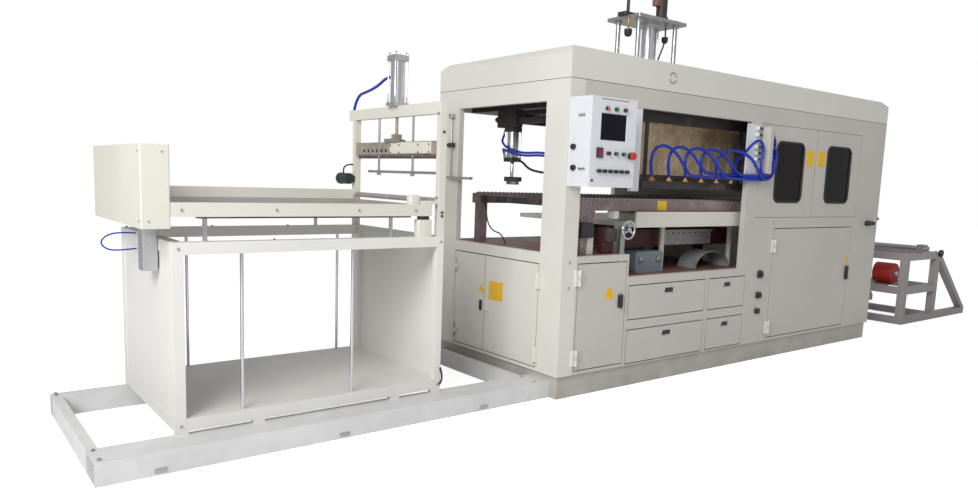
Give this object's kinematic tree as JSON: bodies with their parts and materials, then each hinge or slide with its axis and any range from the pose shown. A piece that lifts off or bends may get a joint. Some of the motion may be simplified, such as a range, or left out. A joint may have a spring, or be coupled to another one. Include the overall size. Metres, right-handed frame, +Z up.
{
  "type": "thermoforming machine",
  "caption": "Roll-fed vacuum forming machine: cabinet with forming station, cross cutter, stacking table on floor rails and roll stand.",
  "frame": {"origin": "underside of the plinth's operator-side channel, at the middle of the cabinet's length", "axes": "+X along the machine from the stacking table to the roll stand, +Y away from the operator, +Z up"},
  "size_m": [9.095, 1.586, 2.834],
  "materials": {
    "white_paint": "semi-gloss off-white powder coat",
    "grey_steel": "plain machined steel",
    "chrome": "polished chrome",
    "dark_metal": "dark painted steel",
    "tan_board": "beige coated board",
    "aluminium": "anodised profile",
    "bed_sheet": "worn sheet",
    "black_plastic": "satin plastic",
    "mould_red": "dark red coated",
    "stand_paint": "grey-white paint"
  },
  "bodies": {
    "machine": {"front_post": "white_paint", "front_header": "white_paint", "drawer_face_frame": "white_paint", "front_panel": "white_paint", "cabinet_rear_wall": "white_paint", "end_wall_posts": "white_paint", "end_wall_rails": "white_paint", "cabinet_right_wall": "white_paint", "roof_cover": "white_paint", "cabinet_plinth": "white_paint", "door_hinges": "white_paint", "upper_doors": "white_paint", "drawer_carcass": "grey_steel", "control_console": "white_paint", "console_controls": "black_plastic", "valve_plate": "white_paint", "press_base": "dark_metal", "lower_press": "white_paint", "chain_rails": "dark_metal", "top_beams": "dark_metal", "heater_board": "tan_board", "air_manifold": "dark_metal", "mould": "mould_red", "gearbox": "dark_metal", "wheel_bracket": "grey_steel", "tower_frame": "grey_steel", "tower_cylinder": "aluminium", "tower_head": "dark_metal", "rail_frame": "white_paint", "table_frame": "white_paint", "table_panels": "white_paint", "table_rods": "chrome", "outfeed_beams": "white_paint", "outfeed_bed": "bed_sheet", "drive_cover": "white_paint", "feed_cylinder": "aluminium", "portal_frame": "white_paint", "cutter_cylinder": "aluminium", "clamp_bar": "grey_steel", "cutter_motor": "dark_metal", "roll_stand": "stand_paint", "roll_shaft": "grey_steel"},
    "cutter": {"cutter_crosshead": "dark_metal"},
    "handwheel": {"handwheel": "black_plastic"},
    "near_end_door": {"end_door_near": "white_paint"},
    "far_end_door": {"end_door_far": "white_paint"},
    "left_door": {"lower_left_door": "white_paint"},
    "right_door": {"lower_right_door": "white_paint"},
    "upper_left_drawer": {"drawer_upper_left": "white_paint"},
    "lower_left_drawer": {"drawer_lower_left": "white_paint"},
    "upper_right_drawer": {"drawer_upper_right": "white_paint"},
    "lower_right_drawer": {"drawer_lower_right": "white_paint"}
  },
  "joints": [
    {"name": "cutter_slide", "type": "slide", "parent": "machine", "child": "cutter", "axis": [0, 0, 1], "range_m": [-0.07, 0]},
    {"name": "handwheel_turn", "type": "hinge", "parent": "machine", "child": "handwheel", "pos_m": [-1.349, -0.018, 1.047], "axis": [0, 1, 0], "continuous": true},
    {"name": "near_end_door_hinge", "type": "hinge", "parent": "machine", "child": "near_end_door", "pos_m": [-1.983, 0.155, 0.5], "axis": [0, 0, 1], "range_deg": [0, 110]},
    {"name": "far_end_door_hinge", "type": "hinge", "parent": "machine", "child": "far_end_door", "pos_m": [-1.983, 1.043, 0.5], "axis": [0, 0, -1], "range_deg": [0, 110]},
    {"name": "left_door_hinge", "type": "hinge", "parent": "machine", "child": "left_door", "pos_m": [-1.825, -0.071, 0.5], "axis": [0, 0, -1], "range_deg": [0, 110]},
    {"name": "right_door_hinge", "type": "hinge", "parent": "machine", "child": "right_door", "pos_m": [0.304, -0.071, 0.6], "axis": [0, 0, -1], "range_deg": [0, 110]},
    {"name": "upper_left_drawer_slide", "type": "slide", "parent": "machine", "child": "upper_left_drawer", "axis": [0, -1, 0], "range_m": [0, 0.4]},
    {"name": "upper_right_drawer_slide", "type": "slide", "parent": "machine", "child": "upper_right_drawer", "axis": [0, -1, 0], "range_m": [0, 0.4]},
    {"name": "lower_left_drawer_slide", "type": "slide", "parent": "machine", "child": "lower_left_drawer", "axis": [0, -1, 0], "range_m": [0, 0.4]},
    {"name": "lower_right_drawer_slide", "type": "slide", "parent": "machine", "child": "lower_right_drawer", "axis": [0, -1, 0], "range_m": [0, 0.4]}
  ]
}
